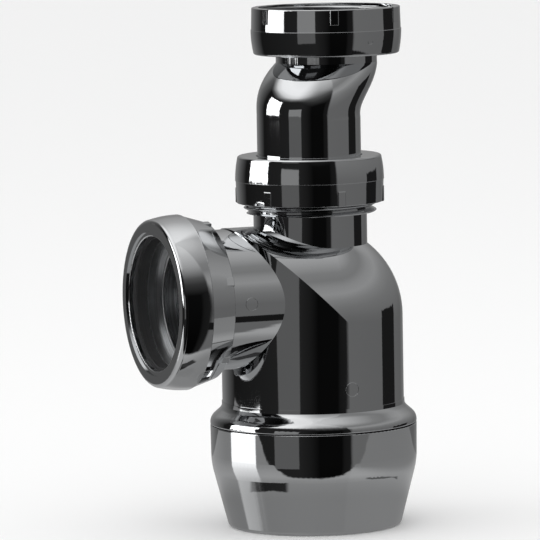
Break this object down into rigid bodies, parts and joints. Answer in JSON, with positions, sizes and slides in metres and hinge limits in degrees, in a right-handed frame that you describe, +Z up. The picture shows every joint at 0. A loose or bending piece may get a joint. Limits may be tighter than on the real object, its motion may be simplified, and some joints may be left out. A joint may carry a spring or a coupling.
{
  "type": "bottle trap",
  "caption": "Bottle trap for a basin waste: screw-on cup, swivelling and sliding offset inlet, and side outlet with compression nuts.",
  "frame": {"origin": "centre of the flat base of the cup, on the body's axis", "axes": "+Z up along the body's axis, the outlet points along -X, Y across"},
  "size_m": [0.0868, 0.0652, 0.1634],
  "materials": {
    "chrome_body": "polished",
    "chrome_cup": "polished",
    "chrome_nut": "polished",
    "chrome_tube": "polished",
    "black_rubber": "matte",
    "ring_plastic": "satin"
  },
  "bodies": {
    "body": {"trap_body": "chrome_body", "outlet_seal": "black_rubber"},
    "cup_seal": {"cup_seal": "black_rubber"},
    "cup": {"cup": "chrome_cup"},
    "neck_ring": {"neck_thrust_ring": "ring_plastic"},
    "neck_nut": {"neck_nut": "chrome_nut"},
    "neck_seal": {"neck_seal": "black_rubber"},
    "inlet": {"inlet_tube": "chrome_tube", "inlet_washer": "black_rubber"},
    "inlet_nut": {"inlet_nut": "chrome_nut"},
    "outlet_ring": {"outlet_thrust_ring": "ring_plastic"},
    "outlet_nut": {"outlet_nut": "chrome_nut"}
  },
  "joints": [
    {"name": "cup_travel", "type": "slide", "parent": "body", "child": "cup_seal", "axis": [0, 0, 1], "range_m": [-0.009, 0]},
    {"name": "cup_screw", "type": "hinge", "parent": "cup_seal", "child": "cup", "pos_m": [0, 0, 0.02], "axis": [0, 0, 1], "range_deg": [-1080, 0]},
    {"name": "neck_nut_travel", "type": "slide", "parent": "body", "child": "neck_ring", "axis": [0, 0, 1], "range_m": [0, 0.00901]},
    {"name": "neck_nut_screw", "type": "hinge", "parent": "neck_ring", "child": "neck_nut", "pos_m": [0, 0, 0.11], "axis": [0, 0, 1], "range_deg": [0, 1404]},
    {"name": "inlet_swivel", "type": "hinge", "parent": "body", "child": "neck_seal", "pos_m": [0, 0, 0.11], "axis": [0, 0, 1], "continuous": true},
    {"name": "inlet_slide", "type": "slide", "parent": "neck_seal", "child": "inlet", "axis": [0, 0, 1], "range_m": [-0.004, 0.025]},
    {"name": "inlet_nut_turn", "type": "hinge", "parent": "inlet", "child": "inlet_nut", "pos_m": [0.00882, 0.00551, 0.155], "axis": [0, 0, 1], "continuous": true},
    {"name": "outlet_nut_travel", "type": "slide", "parent": "body", "child": "outlet_ring", "axis": [-1, 0, 0], "range_m": [0, 0.009]},
    {"name": "outlet_nut_screw", "type": "hinge", "parent": "outlet_ring", "child": "outlet_nut", "pos_m": [-0.045, 0, 0.0731], "axis": [-1, 0, 0], "range_deg": [0, 1080]}
  ],
  "couplings": [
    {"joint": "cup_travel", "follows": "cup_screw", "m_per_rad": 0.00047746},
    {"joint": "neck_nut_travel", "follows": "neck_nut_screw", "m_per_rad": 0.00036749},
    {"joint": "outlet_nut_travel", "follows": "outlet_nut_screw", "m_per_rad": 0.00047746}
  ]
}
